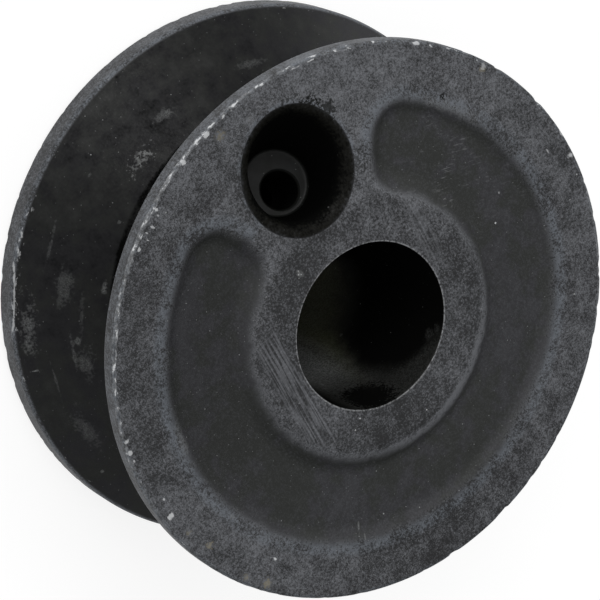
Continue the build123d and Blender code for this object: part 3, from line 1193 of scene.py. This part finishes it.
        # Painted shade: this dull black is mixed in where the pocket, groove, bore and recess lie in
        # shade, and over the dark spots
        painted_shade_bsdf = {"Base Color": (*finish.painted_shade_colour, 1.0), "Roughness": 0.9, "Specular IOR Level": 0.0}
        painted, painted_shade_bsdf = (
            self.add("ShaderNodeBsdfPrincipled", {}, sockets) for sockets in (painted, painted_shade_bsdf)
        )
        # Painted shade on the smooth recess, darker on one side
        recess_shade = (1 - rubbed) * self.towards(58, 2) * 0.2
        painted_shade = most(pocket_shade, groove_shade, bore_shade, recess_shade, dark_spots * 0.75)
        painted_shade = painted_shade * (1 - most(scuffs, bare, dust))
        shader = self.add("ShaderNodeMixShader", {}, {0: painted_shade, 1: painted, 2: painted_shade_bsdf})
        self.add("ShaderNodeOutputMaterial", {}, {"Surface": shader})


# ---- stage

# Ways out from the sheave, and the point that the camera looks at
BRIGHT_SIDE = Vector((0.8, -0.1, 0.6)).normalized()
LAMP_SIDE = Vector((0.75, -0.05, 0.66)).normalized()
VIEW_TARGET = Vector((0.01201, 0.00950, 0.04394))
SENSOR_WIDTH = 36  # millimetres


def pale_floor(look):
    """A pale floor that the camera sees as white, with the object's shadow on it."""
    material = bpy.data.materials.new("pale_floor")
    nodes = Nodes(material)
    direct = [
        nodes.add("ShaderNodeLightPath", {}, {}, ray)
        for ray in ("Is Camera Ray", "Is Glossy Ray", "Is Transmission Ray")
    ]
    seen = nodes.most(*direct)
    place = nodes.add("ShaderNodeTexCoord", {}, {}, "Object")
    from_axis = nodes.vector("LENGTH", place, output="Value")
    # Painted shadow: nothing shines under the sheave itself
    beyond_painted_shadow = nodes.ease(from_axis, 0.040, 0.049)
    floor_colour = (*look.floor_colour, 1.0)
    plain = nodes.add("ShaderNodeBsdfDiffuse", {}, {"Color": floor_colour})
    bright = nodes.add("ShaderNodeEmission", {}, {"Color": floor_colour, "Strength": 1.0})
    weak = nodes.add("ShaderNodeBsdfDiffuse", {}, {"Color": (0.25, 0.25, 0.25, 1.0)})
    glowing = nodes.add("ShaderNodeAddShader", {}, {0: weak, 1: bright})
    lit = nodes.add("ShaderNodeMixShader", {}, {0: seen * beyond_painted_shadow, 1: plain, 2: glowing})
    nodes.add("ShaderNodeOutputMaterial", {}, {"Surface": lit})
    return material


def soft_sky(look):
    """Even light from all round, brighter on the pocket's side."""
    world = bpy.data.worlds.new("soft_sky")
    nodes = Nodes(world)
    way = nodes.add("ShaderNodeTexCoord", {}, {}, "Generated")
    facing = nodes.vector("DOT_PRODUCT", way, tuple(BRIGHT_SIDE), output="Value")
    share = nodes.ease(facing, -0.7, 0.8)
    strength = look.sky_dark + share * (look.sky_bright - look.sky_dark)
    sockets = {"Color": (1.0, 1.0, 1.0, 1.0), "Strength": strength}
    sky = nodes.add("ShaderNodeBackground", {}, sockets)
    nodes.add("ShaderNodeOutputWorld", {}, {"Surface": sky})
    return world


def new_object(context, name, data):
    """A new object in the scene."""
    made = bpy.data.objects.new(name, data)
    context.scene.collection.objects.link(made)
    return made


def aimed(target, way, distance, roll=0.0):
    """The place of a lamp or camera that looks back at a target from some way off."""
    facing = way.to_track_quat("Z", "Y").to_matrix().to_4x4()
    return Matrix.Translation(target + way * distance) @ facing @ Matrix.Rotation(roll, 4, "Z")


class SHEAVE_OT_casting(bpy.types.Operator):
    """Build the painted casting"""

    bl_idname = "sheave.casting"
    bl_label = "Build casting"

    def execute(self, context):
        sizes = context.scene.sheave_sizes
        mesh = build_casting(sizes)
        material = bpy.data.materials.new("painted_cast_iron")
        CastingPaint(material, context.scene.sheave_finish, sizes).layers()
        mesh.materials.append(material)
        casting = new_object(context, "sheave_casting", mesh)
        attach(casting, "root")
        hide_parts("sheave")
        return {"FINISHED"}


class SHEAVE_OT_stage(bpy.types.Operator):
    """Lay the floor, set the light and place the camera"""

    bl_idname = "sheave.stage"
    bl_label = "Set stage"

    def execute(self, context):
        look = context.scene.sheave_stage
        mesh = bpy.data.meshes.new("floor")
        half = look.floor_size / 2
        corners = [(-half, -half, 0), (half, -half, 0), (half, half, 0), (-half, half, 0)]
        mesh.from_pydata(corners, [], [(0, 1, 2, 3)])
        mesh.materials.append(pale_floor(look))
        new_object(context, "floor", mesh)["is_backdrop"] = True

        lamp = bpy.data.lights.new("key", "AREA")
        lamp.shape = "DISK"
        lamp.size = look.key_size
        lamp.energy = look.key_power
        key = new_object(context, "key", lamp)
        key.matrix_world = aimed(Vector(), LAMP_SIDE, look.key_distance)

        lens = bpy.data.cameras.new("camera")
        lens.lens = look.lens
        lens.sensor_width = SENSOR_WIDTH
        lens.clip_start = 0.01
        camera = new_object(context, "camera", lens)
        turn = Matrix.Rotation(look.view_turn, 3, "Z") @ Matrix.Rotation(-look.view_rise, 3, "Y")
        away = turn @ Vector((1, 0, 0))
        camera.matrix_world = aimed(VIEW_TARGET, away, look.view_distance, look.view_roll)
        context.scene.camera = camera

        context.scene.world = soft_sky(look)
        context.scene.view_settings.view_transform = "Standard"
        return {"FINISHED"}


class SHEAVE_PT_panel(bpy.types.Panel):
    """Sizes, finish and stage of the sheave"""

    bl_idname = "SHEAVE_PT_panel"
    bl_label = "Wire Rope Sheave"
    bl_space_type = "VIEW_3D"
    bl_region_type = "UI"
    bl_category = "Sheave"

    def draw(self, context):
        for group in ("sheave_sizes", "sheave_finish", "sheave_stage"):
            settings = getattr(context.scene, group)
            box = self.layout.box()
            for name in settings.__annotations__:
                box.prop(settings, name)
        self.layout.operator("sheave.stage")
        self.layout.operator("sheave.casting")


classes = (
    SheaveSizes,
    SheaveFinish,
    StageLook,
    SHEAVE_OT_casting,
    SHEAVE_OT_stage,
    SHEAVE_PT_panel,
)


def register():
    for cls in classes:
        bpy.utils.register_class(cls)
    bpy.types.Scene.sheave_sizes = bpy.props.PointerProperty(type=SheaveSizes)
    bpy.types.Scene.sheave_finish = bpy.props.PointerProperty(type=SheaveFinish)
    bpy.types.Scene.sheave_stage = bpy.props.PointerProperty(type=StageLook)


def unregister():
    del bpy.types.Scene.sheave_stage
    del bpy.types.Scene.sheave_finish
    del bpy.types.Scene.sheave_sizes
    for cls in reversed(classes):
        bpy.utils.unregister_class(cls)


def main():
    register()
    bpy.ops.sheave.stage()
    bpy.ops.sheave.casting()
    boxes = {"cad": cad_box, "visual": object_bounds()}
    boxes = {name: [list(corner) for corner in box] for name, box in boxes.items()}


if __name__ == "__main__":
    main()
